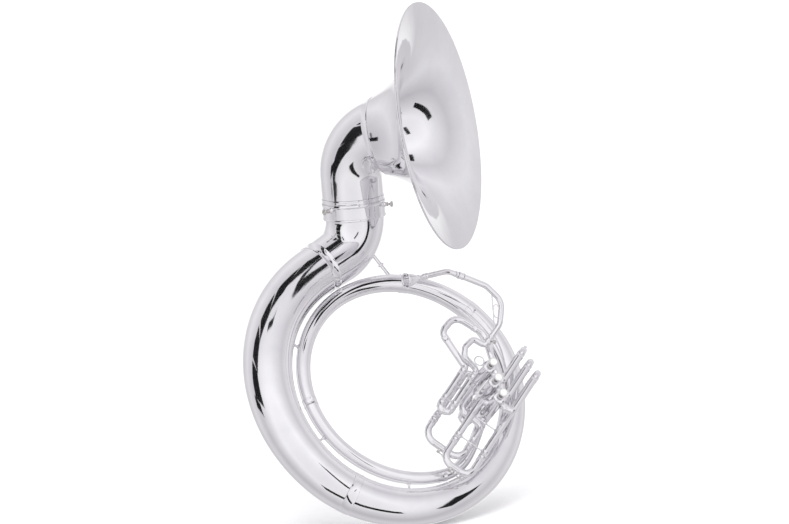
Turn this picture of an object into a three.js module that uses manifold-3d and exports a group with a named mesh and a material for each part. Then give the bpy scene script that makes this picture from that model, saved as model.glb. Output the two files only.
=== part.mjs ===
// A three-valve sousaphone. Millimetres, +Z up, +X the way the bell faces, +Y the player's left.
// The origin is the shoulder rest: the underside of the ring where it lies on the player's shoulder.
import * as THREE from "three";
import { mergeVertices } from "three/addons/utils/BufferGeometryUtils.js";
import Module from "manifold-3d";

const wasm = await Module();
wasm.setup();

// ---- Driving dimensions ------------------------------------------------------------------
const GAP = 0.4; // clearance between touching pieces
const WALL = 1.0; // sheet of the large branches

// The coil is a flat spiral in its own frame: p and q in its plane, h along its normal.
const COIL_CENTRE = [113, -123, -216];
const COIL_YAW = 42.5;
const COIL_TILT = 55.3;
const COIL_SPIN = -49.8;
const OUTER_TURN_RADIUS = 379;
const BODY_START = 162.3; // degrees round the coil where the body leaves the upright
const BODY_END = 680; // degrees where it turns off to the third valve
const SEAMS = [277, 443, 482, 592]; // where one body branch is sleeved onto the next
const FERRULE_HALF = 2; // half a ferrule's length, in degrees round the coil
const STAY_SETBACK = 3.8; // keeps a stay clear of the flats inside the outer turn
const BODY_SIDES = 14; // flats round the large branches

// The upright climbs out of the coil to the bell collar.
const UPRIGHT_SEAM = 18; // along the straight, from the coil to the upright's ferrule
const UPRIGHT_STRAIGHT = 80;
const UPRIGHT_BEND = 105;
const UPRIGHT_LENGTH = 231; // along its centre line, from the coil to the collar
const UPRIGHT_TOP_RADIUS = 80;
const COLLAR = [-46, 49, 216]; // centre of the bell collar
const COLLAR_RADIUS = 84.5;
const COLLAR_SIDES = 24;
const TENON_RADIUS = 80.2;
const COLLAR_HALF = 22;
const SCREW_ANGLES = { right: 0, back: 120, left: 240 };

// The bell: a vertical tenon, an elbow turning forward and a flare.
const BELL_BEAD_TOP = 35; // above the collar's centre
const ELBOW_FOOT_RADIUS = 82.5;
const ELBOW_START = 86;
const ELBOW_RADIUS = 110;
const ELBOW_TURN = 82.4;
const FLARE_SEAM_TURN = 75;
const FLARE_LENGTH = 162;
const RIM_RADIUS = 330;
const FLARE_OFFSET = 40.5; // sets how late the flare opens
const FLARE_POWER = 0.7;

// Valves stand along the coil's normal.
const VALVES = [
  [158, 109],
  [191, 79],
  [224, 49],
];
const CASING_RADIUS = 17;
const CASING_BORE = 15.9;
const CASING_FOOT = -18;
const CASING_TOP = 120;
const PISTON_RADIUS = 15.3;
const BUTTON_TOP = 154;
const SPRING_FOOT = -23.4;
const SPRING_TOP = 30.4;

// Small tubing.
const TUBE = 10; // outer radius of bows and outer legs
const TUBE_BORE = 9.3;
const BRAZE = 9.2; // how far from a tube's centre a stay brazed to it ends
const INNER_LEG = 8.8; // outer radius of a slide's inner leg
const INNER_BORE = 8;
const LEADPIPE = 8.5;
const SOCKET = 11; // outer radius of the leadpipe's receiver
const SOCKET_DEPTH = 9;
const NECK = 8.2;
const TUNING_H = 78;
const TUNING_LEGS = [107, 137];
const TUNING_LEG_FOOT = -36;
const UPPER_H = 95; // level of the tubes that leave the valves for the crooks
const LOWER_H = 62; // level of the tubes that come back
const FIRST_LOOP_H = 34;
const SECOND_SLIDE_H = 14;
const THIRD_LEGS = [190, 274];
const THIRD_LEG_FOOT = -95;
const THIRD_BOW_FOOT = -170;
const FIRST_LEGS = [117, 232];
const FIRST_LEG_FOOT = -66;
const FIRST_BOW_FOOT = -126;
const KEY_HINGE = 16; // from a water key's spout to its hinge
const KEY_LEVEL = 16.6; // from the bow's centre to the lever
const SECOND_LEGS = [172, 196];
const SECOND_LEG_FOOT = 12;

// ---- Small tools ---------------------------------------------------------------------------
const rad = THREE.MathUtils.degToRad;
const vec = (list) => new THREE.Vector3(list[0], list[1], list[2]);
const at = (value, i) => (typeof value === "function" ? value(i) : value);
const ease = (value, from, to) => THREE.MathUtils.smoothstep(value, from, to);

const FINISH = {
  silver: { color: 0xe4e3e8, roughness: 0.12, metalness: 1 },
  nickel: { color: 0xc9c8c4, roughness: 0.25, metalness: 1 },
  pearl: { color: 0xf2efe8, roughness: 0.3, metalness: 0 },
  spring: { color: 0xa9a49a, roughness: 0.35, metalness: 1 },
};

// A closed mesh as a manifold solid, and back.
function toSolid(geometry) {
  const bare = geometry.index ? geometry.toNonIndexed() : geometry.clone();
  bare.deleteAttribute("normal");
  bare.deleteAttribute("uv");
  const merged = mergeVertices(bare, 1e-3);
  return new wasm.Manifold(
    new wasm.Mesh({
      numProp: 3,
      vertProperties: merged.attributes.position.array,
      triVerts: new Uint32Array(merged.index.array),
    }),
  );
}

function toGeometry(solid) {
  const mesh = solid.getMesh();
  const geometry = new THREE.BufferGeometry();
  geometry.setAttribute("position", new THREE.BufferAttribute(mesh.vertProperties, 3));
  geometry.setIndex(new THREE.BufferAttribute(mesh.triVerts, 1));
  geometry.computeVertexNormals();
  return geometry;
}

const join = (first, ...rest) =>
  toGeometry(rest.reduce((solid, part) => solid.add(toSolid(part)), toSolid(first)));
const cut = (first, ...rest) =>
  toGeometry(rest.reduce((solid, part) => solid.subtract(toSolid(part)), toSolid(first)));

function addPiece(group, name, geometry, finish = "silver") {
  const mesh = new THREE.Mesh(geometry, new THREE.MeshStandardMaterial(FINISH[finish]));
  mesh.name = name;
  group.add(mesh);
  return mesh;
}

// Stations along straight runs joined by round corners. A corner is [x, y, z, bend radius].
function route(corners, radius = 16, step = 45) {
  const heading = (i) => vec(corners[i + 1]).sub(vec(corners[i])).normalize();
  const stations = [{ point: vec(corners[0]), along: heading(0) }];
  for (let i = 1; i < corners.length - 1; i++) {
    const into = heading(i - 1);
    const out = heading(i);
    const turn = into.angleTo(out);
    const bend = corners[i][3] ?? radius;
    const inward = out.clone().addScaledVector(into, -Math.cos(turn)).normalize();
    const start = vec(corners[i]).addScaledVector(into, -bend * Math.tan(turn / 2));
    const steps = Math.max(1, Math.round(turn / rad(step)));
    for (let k = 0; k <= steps; k++) {
      const a = (turn * k) / steps;
      const point = start.clone().addScaledVector(into, bend * Math.sin(a));
      point.addScaledVector(inward, bend * (1 - Math.cos(a)));
      const along = into.clone().multiplyScalar(Math.cos(a)).addScaledVector(inward, Math.sin(a));
      stations.push({ point, along });
    }
  }
  const last = corners.length - 1;
  stations.push({ point: vec(corners[last]), along: heading(last - 1) });
  return stations;
}

// Bends a lathe whose height is the station number so that it follows the stations.
function bendAlong(geometry, stations, up) {
  const normal = vec(up);
  const frames = stations.map(({ point, along }) => {
    normal.addScaledVector(along, -normal.dot(along)).normalize();
    return { point, up: normal.clone(), side: along.clone().cross(normal) };
  });
  const position = geometry.attributes.position;
  for (let k = 0; k < position.count; k++) {
    const frame = frames[Math.round(position.getY(k))];
    const moved = frame.point.clone().addScaledVector(frame.side, position.getX(k));
    moved.addScaledVector(frame.up, position.getZ(k));
    position.setXYZ(k, moved.x, moved.y, moved.z);
  }
  geometry.computeVertexNormals();
  return geometry;
}

// A tube open at both ends; outer and bore are radii, or functions of the station number.
function tube(stations, outer, bore, sides = 8, up = [0, 0, 1]) {
  const outline = stations.map((_, i) => new THREE.Vector2(at(outer, i), i));
  const back = stations.map((_, i) => new THREE.Vector2(at(bore, i), i)).reverse();
  const profile = [...outline, ...back, outline[0].clone()];
  return bendAlong(new THREE.LatheGeometry(profile, sides), stations, up);
}

function rod(stations, radius, sides = 6, up = [0, 0, 1]) {
  const outline = stations.map((_, i) => new THREE.Vector2(radius, i));
  const last = stations.length - 1;
  const profile = [new THREE.Vector2(0, 0), ...outline, new THREE.Vector2(0, last)];
  return bendAlong(new THREE.LatheGeometry(profile, sides), stations, up);
}

// A solid or ring turned about the direction from one point towards another; profile is [radius, along].
function turned(profile, sides, from, towards) {
  const points = profile.map(([r, s]) => new THREE.Vector2(r, s));
  const geometry = new THREE.LatheGeometry(points, sides);
  const axis = vec(towards).sub(vec(from)).normalize();
  geometry.applyQuaternion(new THREE.Quaternion().setFromUnitVectors(vec([0, 1, 0]), axis));
  return geometry.translate(from[0], from[1], from[2]);
}

// The radius whose flats stay a gap clear of a round of the given radius.
const clearOf = (radius, sides) => (radius + GAP) / Math.cos(Math.PI / sides);

const ring = (outer, bore, from, to) => [
  [bore, from],
  [outer, from],
  [outer, to],
  [bore, to],
  [bore, from],
];

// ---- Frames --------------------------------------------------------------------------------
const sousaphone = new THREE.Group();
const yaw = new THREE.Group();
const tilt = new THREE.Group();
const coil = new THREE.Group();
yaw.position.set(...COIL_CENTRE);
yaw.rotation.z = rad(COIL_YAW);
tilt.rotation.x = rad(COIL_TILT);
coil.rotation.z = rad(COIL_SPIN);
sousaphone.add(yaw);
yaw.add(tilt);
tilt.add(coil);
sousaphone.updateMatrixWorld(true);
const fromCoil = (point) => point.clone().applyMatrix4(coil.matrixWorld);
const coilNormal = vec([0, 0, 1]).transformDirection(coil.matrixWorld);

const bell = new THREE.Group();
bell.position.set(...COLLAR);
sousaphone.add(bell);

// ---- The body: one conical tube wound into a spiral ------------------------------------------
// Its outer turn shrinks inside itself so that the second turn nests against the first.
function coilRadius(deg) {
  const dive = 82 * ease(deg, 265, 395);
  const nest = 13 * ease(deg, 395, 520);
  const creep = 6 * THREE.MathUtils.clamp((deg - 520) / 160, 0, 1);
  return OUTER_TURN_RADIUS - dive - nest - creep;
}

// A steady taper with a bell-like growth towards the upright.
function bodyRadius(deg) {
  const run = (deg - 162) / 533;
  return (32 + 24 * (1 - run) + 81 * Math.exp(-(((deg - 162) / 205) ** 2))) / 2;
}

function coilStation(deg) {
  const point = vec([Math.cos(rad(deg)), Math.sin(rad(deg)), 0]).multiplyScalar(coilRadius(deg));
  const ahead = vec([Math.cos(rad(deg + 0.5)), Math.sin(rad(deg + 0.5)), 0]);
  ahead.multiplyScalar(coilRadius(deg + 0.5));
  const behind = vec([Math.cos(rad(deg - 0.5)), Math.sin(rad(deg - 0.5)), 0]);
  behind.multiplyScalar(coilRadius(deg - 0.5));
  return { point, along: ahead.sub(behind).normalize(), radius: bodyRadius(deg) };
}

// Angles from one seam to the next, with a station at the edge of each ferrule.
function seamAngles(from, to, step = 15) {
  const first = from + FERRULE_HALF;
  const last = to - FERRULE_HALF;
  const steps = Math.ceil((last - first) / step);
  const inner = Array.from({ length: steps + 1 }, (_, i) => first + ((last - first) * i) / steps);
  return [from + 0.05, ...inner, to - 0.05];
}

const startPoint = coilStation(BODY_START).point;
const startHeading = vec([Math.sin(rad(BODY_START)), -Math.cos(rad(BODY_START)), 0]);
const alongStart = (s) => startPoint.clone().addScaledVector(startHeading, s);
const uprightRadius = (s) =>
  THREE.MathUtils.lerp(bodyRadius(BODY_START), UPRIGHT_TOP_RADIUS, s / UPRIGHT_LENGTH);

function bodyBranch(name, stations, sides) {
  const outer = (i) => stations[i].radius;
  addPiece(coil, name, tube(stations, outer, (i) => outer(i) - WALL, sides));
}

function addBody() {
  const back = startHeading.clone().negate();
  const straight = [UPRIGHT_SEAM - 0.3, UPRIGHT_SEAM - 12, 0].map((s) => ({
    point: alongStart(s),
    along: back,
    radius: uprightRadius(s),
  }));
  const firstTurn = seamAngles(BODY_START, SEAMS[0]).slice(1).map(coilStation);
  bodyBranch("body_branch_1", [...straight, ...firstTurn], BODY_SIDES);
  bodyBranch("body_branch_2", seamAngles(SEAMS[0], SEAMS[1]).map(coilStation), 12);
  bodyBranch("body_branch_3", seamAngles(SEAMS[1], SEAMS[2]).map(coilStation), 12);
  bodyBranch("body_branch_4", seamAngles(SEAMS[2], SEAMS[3]).map(coilStation), 12);
  const tail = seamAngles(SEAMS[3], BODY_END).slice(0, -1).map(coilStation);
  const [, , port] = VALVES;
  const end = coilStation(BODY_END);
  const turnOff = new THREE.CubicBezierCurve3(
    end.point,
    end.point.clone().addScaledVector(end.along, 84),
    vec([238, -50, 5]),
    vec([port[0], port[1] - CASING_RADIUS - GAP, 5]),
  );
  for (const t of [0, 0.2, 0.4, 0.6, 0.8, 1]) {
    const radius = THREE.MathUtils.lerp(bodyRadius(BODY_END), 14, t);
    tail.push({ point: turnOff.getPoint(t), along: turnOff.getTangent(t), radius });
  }
  bodyBranch("body_branch_5", tail, 12);
}

// The sleeves soldered over the seams of the coil.
function addFerrules() {
  SEAMS.forEach((deg, i) => {
    const stations = [deg - FERRULE_HALF, deg, deg + FERRULE_HALF].map(coilStation);
    const sides = i === 0 ? BODY_SIDES : 12;
    const inner = (k) => clearOf(stations[k].radius, sides);
    addPiece(coil, `coil_ferrule_${i + 1}`, tube(stations, (k) => inner(k) + 1.4, inner, sides));
  });
  const seam = [-12, 0, 12].map((ds) => ({
    point: fromCoil(alongStart(UPRIGHT_SEAM + ds)),
    along: fromCoil(alongStart(UPRIGHT_SEAM + ds + 1)).sub(fromCoil(alongStart(UPRIGHT_SEAM + ds))),
    radius: clearOf(uprightRadius(UPRIGHT_SEAM + ds), BODY_SIDES),
  }));
  const inner = (k) => seam[k].radius;
  const band = tube(seam, (k) => inner(k) + 1.6, inner, BODY_SIDES, coilNormal.toArray());
  addPiece(sousaphone, "upright_ferrule", band);
}

// ---- The upright, the collar and its screws ---------------------------------------------------
function uprightStations() {
  const heading = startHeading.clone().transformDirection(coil.matrixWorld);
  const level = heading.clone().setZ(0).normalize();
  const climb = Math.asin(heading.z);
  const stations = [UPRIGHT_SEAM + 0.3, UPRIGHT_SEAM + 12, UPRIGHT_STRAIGHT].map((s) => ({
    point: fromCoil(alongStart(s)),
    along: heading,
    radius: uprightRadius(s),
  }));
  const bendStart = stations[2].point;
  const steps = 5;
  for (let k = 1; k <= steps; k++) {
    const e = climb + ((Math.PI / 2 - climb) * k) / steps;
    const point = bendStart.clone();
    point.addScaledVector(level, UPRIGHT_BEND * (Math.sin(e) - Math.sin(climb)));
    point.z += UPRIGHT_BEND * (Math.cos(climb) - Math.cos(e));
    const along = level.clone().multiplyScalar(Math.cos(e)).setZ(Math.sin(e));
    stations.push({ point, along, radius: uprightRadius(UPRIGHT_STRAIGHT + UPRIGHT_BEND * (e - climb)) });
  }
  const top = vec([COLLAR[0], COLLAR[1], COLLAR[2] - 2]);
  stations.push({ point: top, along: vec([0, 0, 1]), radius: UPRIGHT_TOP_RADIUS });
  return stations;
}

function addUpright() {
  const stations = uprightStations();
  const outer = (i) => stations[i].radius;
  const shell = tube(stations, outer, (i) => outer(i) - WALL, BODY_SIDES, coilNormal.toArray());
  addPiece(sousaphone, "upright_branch", shell);
}

const radial = (deg, r) => [r * Math.cos(rad(deg)), r * Math.sin(rad(deg)), 10];

function addCollar() {
  const lowerBore = clearOf(UPRIGHT_TOP_RADIUS, COLLAR_SIDES);
  const upperBore = clearOf(TENON_RADIUS, COLLAR_SIDES);
  const profile = [
    [lowerBore, -COLLAR_HALF],
    [COLLAR_RADIUS - 1, -COLLAR_HALF],
    [COLLAR_RADIUS, -COLLAR_HALF + 2],
    [COLLAR_RADIUS, COLLAR_HALF],
    [upperBore, COLLAR_HALF],
    [upperBore, 0],
    [lowerBore, 0],
    [lowerBore, -COLLAR_HALF],
  ];
  const band = turned(profile, COLLAR_SIDES, [0, 0, 0], [0, 0, 1]);
  const bosses = Object.values(SCREW_ANGLES).map((deg) =>
    turned([[0, 82.5], [7, 82.5], [7, 89], [5.5, 91], [0, 91]], 10, [0, 0, 10], radial(deg, 1)),
  );
  const holes = Object.values(SCREW_ANGLES).map((deg) =>
    turned([[0, 70], [3.8, 70], [3.8, 95], [0, 95]], 10, [0, 0, 10], radial(deg, 1)),
  );
  addPiece(bell, "bell_collar", cut(join(band, ...bosses), ...holes));
  for (const [side, deg] of Object.entries(SCREW_ANGLES)) {
    const profileOfScrew = [
      [0, 80.9], [3.1, 80.9], [3.1, 94], [5.5, 95], [5.5, 97], [3, 99],
      [3, 101], [7.5, 103], [7.5, 108], [5, 110], [0, 110],
    ];
    addPiece(bell, `bell_screw_${side}`, turned(profileOfScrew, 10, [0, 0, 10], radial(deg, 1)), "nickel");
  }
}

// ---- The bell ----------------------------------------------------------------------------------
function elbowStation(turn, radius) {
  const a = rad(turn);
  const point = vec([ELBOW_RADIUS * (1 - Math.cos(a)), 0, ELBOW_START + ELBOW_RADIUS * Math.sin(a)]);
  return { point, along: vec([Math.sin(a), 0, Math.cos(a)]), radius };
}

const elbowRadius = (turn) => ELBOW_FOOT_RADIUS + 18 * (turn / ELBOW_TURN) ** 1.4;
const flareRadius = (behindRim) => RIM_RADIUS * (FLARE_OFFSET / (behindRim + FLARE_OFFSET)) ** FLARE_POWER;

function addBell() {
  const bore = TENON_RADIUS - 1.5;
  const tenon = ring(TENON_RADIUS, bore, -1, COLLAR_HALF);
  addPiece(bell, "bell_tenon", turned(tenon, COLLAR_SIDES, [0, 0, 0], [0, 0, 1]));

  // The elbow's foot is a heavy bead that sits on the collar and stops the bell from sinking.
  const foot = (z, radius) => ({ point: vec([0, 0, z]), along: vec([0, 0, 1]), radius });
  const bead = COLLAR_RADIUS + 0.5;
  const turns = [0, 15, 30, 45, 60, FLARE_SEAM_TURN];
  const elbow = [
    foot(COLLAR_HALF + GAP, bead),
    foot(BELL_BEAD_TOP, bead),
    foot(BELL_BEAD_TOP, ELBOW_FOOT_RADIUS),
    ...turns.map((turn) => elbowStation(turn, elbowRadius(turn))),
  ];
  const inside = (i) => (i < 3 ? bore : elbow[i].radius - WALL);
  addPiece(bell, "bell_elbow", tube(elbow, (i) => elbow[i].radius, inside, 20, [0, 1, 0]));

  const throat = elbowStation(FLARE_SEAM_TURN + 0.3, elbowRadius(FLARE_SEAM_TURN) + 0.6);
  const end = elbowStation(ELBOW_TURN, flareRadius(FLARE_LENGTH));
  const flare = [throat, end];
  for (const behind of [120, 84, 56, 34, 18, 7, 1.5, 0]) {
    const point = end.point.clone().addScaledVector(end.along, FLARE_LENGTH - behind);
    flare.push({ point, along: end.along, radius: flareRadius(behind) });
  }
  const skin = (i) => flare[i].radius - (i > flare.length - 3 ? 5 : 2.2);
  addPiece(bell, "bell_flare", tube(flare, (i) => flare[i].radius, skin, 28, [0, 1, 0]));
}

// ---- Struts that tie the coil together -----------------------------------------------------------
function addStruts() {
  const ringDeg = 486.4;
  const ringStation = coilStation(ringDeg);
  const foot = fromCoil(ringStation.point);
  const bendPoint = vec([COLLAR[0] - 4, COLLAR[1] - 5, COLLAR[2] - 57]);
  const heading = bendPoint.clone().sub(foot);
  const reach = heading.length();
  heading.normalize();
  const low = foot.clone().addScaledVector(heading, ringStation.radius + 6);
  const high = foot.clone().addScaledVector(heading, reach - UPRIGHT_TOP_RADIUS - 12);
  addPiece(sousaphone, "coil_strut", tube(route([low.toArray(), high.toArray()]), 5.5, 4.4, 8, [0, 1, 0]));

  [200, 252, 302].forEach((deg, i) => {
    const outer = coilStation(deg);
    const inner = coilStation(deg + 360);
    const away = outer.point.clone().normalize();
    const from = away.clone().multiplyScalar(inner.point.length() + inner.radius + GAP);
    const to = away.clone().multiplyScalar(outer.point.length() - outer.radius - STAY_SETBACK);
    const span = to.distanceTo(from);
    const profile = [
      [0, 0], [5, 0], [5, 1.4], [3, 2.2], [3, span - 2.2], [5, span - 1.4], [5, span], [0, span],
    ];
    addPiece(coil, `coil_brace_${i + 1}`, turned(profile, 8, from.toArray(), to.toArray()));
  });
}

// ---- Valves ----------------------------------------------------------------------------------------
function springGeometry(p, q) {
  const turns = 5;
  const perTurn = 8;
  const last = turns * perTurn;
  const rise = SPRING_TOP - SPRING_FOOT - 2;
  const stations = Array.from({ length: last + 1 }, (_, i) => {
    const a = (2 * Math.PI * i) / perTurn;
    const slope = rise / (last * ((2 * Math.PI) / perTurn));
    const point = vec([p + 11.5 * Math.cos(a), q + 11.5 * Math.sin(a), SPRING_FOOT + 1 + (rise * i) / last]);
    return { point, along: vec([-11.5 * Math.sin(a), 11.5 * Math.cos(a), slope]).normalize() };
  });
  return rod(stations, 0.9, 4);
}

function addValve(p, q, number) {
  const foot = [p, q, 0];
  const up = [p, q, 1];
  const lathe = (profile, sides = 12) => turned(profile, sides, foot, up);
  const casing = lathe(ring(CASING_RADIUS, CASING_BORE, CASING_FOOT, CASING_TOP));
  const thumbRing = new THREE.TorusGeometry(13, 2, 6, 14);
  thumbRing.translate(p - CASING_RADIUS - 14, q, CASING_TOP - 4);
  addPiece(coil, `valve_casing_${number}`, number === 1 ? join(casing, thumbRing) : casing);
  const bottom = [
    [0, -27], [14, -27], [17.6, -25], [17.6, CASING_FOOT - GAP],
    [15.4, CASING_FOOT - GAP], [15.4, -24], [0, -24],
  ];
  addPiece(coil, `bottom_cap_${number}`, lathe(bottom));
  const top = [
    [4.8, CASING_TOP + GAP], [18, CASING_TOP + GAP], [18, 126], [13, 128.4],
    [4.8, 128.4], [4.8, CASING_TOP + GAP],
  ];
  addPiece(coil, `top_cap_${number}`, lathe(top));
  const skin = PISTON_RADIUS - 1.1;
  const piston = [
    [0, 109], [skin, 109], [skin, 33], [6, 33], [6, 31], [skin, 31], [skin, 22],
    [PISTON_RADIUS, 22], [PISTON_RADIUS, 112], [3.2, 112], [3.2, 145], [0, 145],
  ];
  addPiece(coil, `piston_${number}`, lathe(piston), "nickel");
  const button = [
    [0, 145.4], [4.2, 145.4], [4.6, 148], [10.6, 149.6], [11.6, 151.4], [11, 153.4], [10, BUTTON_TOP],
    [0, BUTTON_TOP],
  ];
  addPiece(coil, `finger_button_${number}`, lathe(button), "pearl");
  addPiece(coil, `valve_spring_${number}`, springGeometry(p, q), "spring");
}

// ---- Valve tubing -------------------------------------------------------------------------------------
// A slide: a U whose two inner legs run inside the outer legs and whose bow is full size.
function slideGeometry(legs, h, top, shoulder, bottom, corner) {
  const [left, right] = legs;
  const bow = route([[left, top, h], [left, bottom, h], [right, bottom, h], [right, top, h]], corner);
  const shoulderAt = (p, towards) => ({ point: vec([p, shoulder, h]), along: vec([0, towards, 0]) });
  const stations = [
    bow[0],
    shoulderAt(left, -1),
    shoulderAt(left, -1),
    ...bow.slice(1, -1),
    shoulderAt(right, 1),
    shoulderAt(right, 1),
    bow[bow.length - 1],
  ];
  const last = stations.length - 1;
  return tube(stations, (i) => (i < 2 || i > last - 2 ? INNER_LEG : TUBE), INNER_BORE);
}

const crossRod = (from, to, radius = 1.8) => rod(route([from, to]), radius, 6, [0.1, 0.2, 1]);

// The spout and the two hinge ears of a water key, on the far side of a bow.
function waterKeySeat(p, q, h) {
  const spout = turned([[0, 9], [3.2, 9], [3.2, 13.6], [0, 13.6]], 8, [p, q, h], [p, q - 1, h]);
  const ears = [-4.6, 4.6].map((side) =>
    new THREE.BoxGeometry(5, 11, 1.6).translate(p + KEY_HINGE, q - 13.1, h + side),
  );
  return [spout, ...ears];
}

// The key itself: a cork cup over the spout, a lever and a finger plate.
function waterKey(p, q, h) {
  const cup = turned([[0, 14], [4.4, 14], [4.4, 17.6], [0, 17.6]], 10, [p, q, h], [p, q - 1, h]);
  const lever = new THREE.BoxGeometry(36, 2, 4).translate(p + 17, q - KEY_LEVEL, h);
  const plate = new THREE.CylinderGeometry(5, 5, 1.8, 12).translate(p + 37, q - KEY_LEVEL, h);
  return join(cup, lever, plate);
}

function addTuningSlide() {
  const [left, right] = TUNING_LEGS;
  const leg = (p) => tube(route([[p, TUNING_LEG_FOOT, TUNING_H], [p, 80, TUNING_H]]), TUBE, TUBE_BORE);
  const stays = [-20, 30].map((q) => crossRod([left + BRAZE, q, TUNING_H], [right - BRAZE, q, TUNING_H], 2));
  addPiece(coil, "tuning_slide_legs", join(leg(left), leg(right), ...stays));
  const slide = slideGeometry(TUNING_LEGS, TUNING_H, 70, TUNING_LEG_FOOT - GAP, -57, 15);
  addPiece(coil, "main_tuning_slide", slide);
}

function addLeadpipe() {
  const pipe = route([
    [118, 187, 104],
    [118, 168, 98.7, 13],
    [82, 163, 102, 15],
    [76, 128, 102, 15],
    [88, 104, 99, 15],
    [137, 104, 79, 11],
    [137, 80 + GAP, TUNING_H],
  ]);
  const socketEnd = pipe[0].point.clone().addScaledVector(pipe[0].along, SOCKET_DEPTH);
  const step = { point: socketEnd, along: pipe[0].along };
  const stations = [pipe[0], step, step, ...pipe.slice(1)];
  addPiece(coil, "leadpipe", tube(stations, (i) => (i < 2 ? SOCKET : LEADPIPE), LEADPIPE - 0.8));
}

function addFeedBow() {
  const [p, q] = VALVES[0];
  const bow = route([
    [107, 80 + GAP, TUNING_H],
    [107, 91, TUNING_H, 10],
    [72, 110, 73, 30],
    [4, 142, 72, 26],
    [8, 208, 72, 34],
    [100, 214, 72, 30],
    [158, 160, 72, 20],
    [p, q + CASING_RADIUS + GAP, 72],
  ]);
  addPiece(coil, "valve_feed_bow", tube(bow, TUBE, TUBE_BORE));
}

// From a valve's side port out, round the crook and back down to the next valve or slide.
function addCrooks() {
  const reach = CASING_RADIUS + GAP;
  const [one, two, three] = VALVES;
  const crook = (from, p, end, exit) => [
    [from[0] + reach, from[1], UPPER_H],
    [p, from[1], UPPER_H, 13],
    [p, end, UPPER_H, 16.4],
    [p, end, LOWER_H, 16.4],
    ...exit,
  ];
  const into = (valve, p) => [
    [p, valve[1] + 58, LOWER_H, 20],
    [valve[0], valve[1] + 34, LOWER_H, 20],
    [valve[0], valve[1] + reach, LOWER_H],
  ];
  addPiece(coil, "crook_1", tube(route(crook(one, 209, 236, into(two, 209))), TUBE, TUBE_BORE));
  addPiece(coil, "crook_2", tube(route(crook(two, 242, 218, into(three, 242))), TUBE, TUBE_BORE));
  const down = [[THIRD_LEGS[1], 120 + GAP, LOWER_H]];
  addPiece(coil, "crook_3", tube(route(crook(three, THIRD_LEGS[1], 201, down)), TUBE, TUBE_BORE));
}

function addThirdSlide() {
  const [left, right] = THIRD_LEGS;
  const [p, q] = VALVES[2];
  const leftLeg = route([
    [p - CASING_RADIUS - GAP, q, LOWER_H],
    [left, q, LOWER_H, 14],
    [left, THIRD_LEG_FOOT, LOWER_H],
  ]);
  const rightLeg = route([[right, 120, LOWER_H], [right, THIRD_LEG_FOOT, LOWER_H]]);
  const stays = [-5, -80].map((at) => crossRod([left + BRAZE, at, LOWER_H], [right - BRAZE, at, LOWER_H]));
  const legs = [leftLeg, rightLeg].map((stations) => tube(stations, TUBE, TUBE_BORE));
  addPiece(coil, "third_slide_legs", join(...legs, ...stays));
  const slide = slideGeometry(THIRD_LEGS, LOWER_H, -15, THIRD_LEG_FOOT - GAP, THIRD_BOW_FOOT, 30);
  addPiece(coil, "third_slide", join(slide, ...waterKeySeat(222, THIRD_BOW_FOOT, LOWER_H)));
  addPiece(coil, "water_key_3", waterKey(222, THIRD_BOW_FOOT, LOWER_H), "nickel");
}

function addFirstSlide() {
  const [left, right] = FIRST_LEGS;
  const [p, q] = VALVES[0];
  const h = FIRST_LOOP_H;
  const out = route([[p - CASING_RADIUS - GAP, q, h], [left, q, h, 14], [left, FIRST_LEG_FOOT, h]]);
  addPiece(coil, "first_slide_left_leg", tube(out, TUBE, TUBE_BORE));
  const home = route([
    [right, FIRST_LEG_FOOT, h],
    [right, 0, h, 18],
    [p, 0, h + 5, 18],
    [p, q - CASING_RADIUS - GAP, h + 5],
  ]);
  addPiece(coil, "first_slide_right_leg", tube(home, TUBE, TUBE_BORE));
  const slide = slideGeometry(FIRST_LEGS, h, -22, FIRST_LEG_FOOT - GAP, FIRST_BOW_FOOT, 34);
  addPiece(coil, "first_slide", join(slide, ...waterKeySeat(172, FIRST_BOW_FOOT, h)));
  addPiece(coil, "water_key_1", waterKey(172, FIRST_BOW_FOOT, h), "nickel");
}

function addSecondSlide() {
  const [left, right] = SECOND_LEGS;
  const h = SECOND_SLIDE_H;
  const leg = (p) => tube(route([[p, SECOND_LEG_FOOT, h], [p, 61.4, h]]), TUBE, TUBE_BORE);
  const stay = crossRod([left + BRAZE, 30, h], [right - BRAZE, 30, h], 2);
  addPiece(coil, "second_slide_legs", join(leg(left), leg(right), stay));
  addPiece(coil, "second_slide", slideGeometry(SECOND_LEGS, h, 54, SECOND_LEG_FOOT - GAP, -7, 12));
}

// ---- Neck and mouthpiece ---------------------------------------------------------------------------------
const NECK_ROUTE = [
  [118, 187 + GAP, 104],
  [118, 238, 118.1, 40],
  [88, 289, 137, 40],
  [30, 290, 152, 44],
  [-30, 266, 163, 60],
  [-47, 258.5, 166],
];
const BIT_ROUTE = [
  [-47.4, 258.3, 166.1],
  [-76, 245.8, 171.1, 50],
  [-121, 181.5, 178],
];
const MOUTHPIECE_RIM = [-151.7, 137.6, 182.7];

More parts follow.
